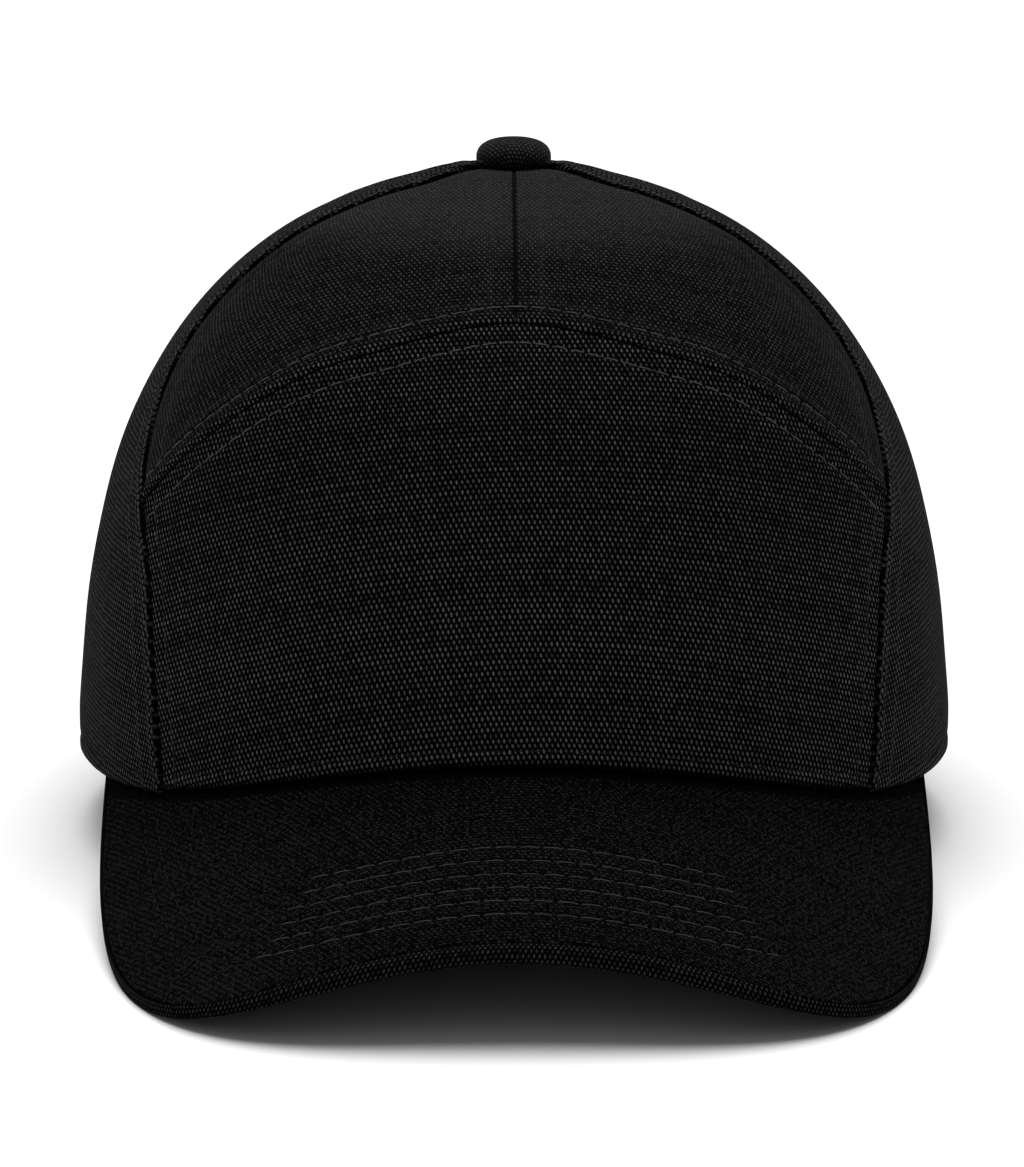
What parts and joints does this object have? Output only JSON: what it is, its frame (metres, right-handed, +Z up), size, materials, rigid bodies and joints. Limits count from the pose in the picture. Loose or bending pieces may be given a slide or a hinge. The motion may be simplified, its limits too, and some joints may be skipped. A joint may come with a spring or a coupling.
{
  "type": "seven panel cap",
  "caption": "Soft black canvas cap with a wide front panel under an arched seam, upper front, side and back panels, a curved stitched visor and a covered top button.",
  "frame": {"origin": "middle of the underside of the object's box, on the table that the cap rests on", "axes": "+Z up, the cap's front and visor look along -Y, +X to the right as the front is viewed, which is the wearer's left"},
  "size_m": [0.1782, 0.2694, 0.1401],
  "materials": {
    "front_canvas": "matte black coarse canvas",
    "upper_front_cloth": "matte black fine cloth",
    "side_and_back_canvas": "matte black coarse canvas",
    "visor_cloth": "matte black fine cloth",
    "visor_canvas": "matte black coarse canvas",
    "button_canvas": "matte black coarse canvas"
  },
  "bodies": {
    "root": {"front_panel": "front_canvas", "upper_front_panel_right": "upper_front_cloth", "upper_front_panel_left": "upper_front_cloth", "side_panel_right": "side_and_back_canvas", "side_panel_left": "side_and_back_canvas", "back_panel_right": "side_and_back_canvas", "back_panel_left": "side_and_back_canvas", "visor_top_cloth": "visor_cloth", "visor_under_cloth": "visor_canvas", "top_button": "button_canvas"}
  },
  "joints": []
}
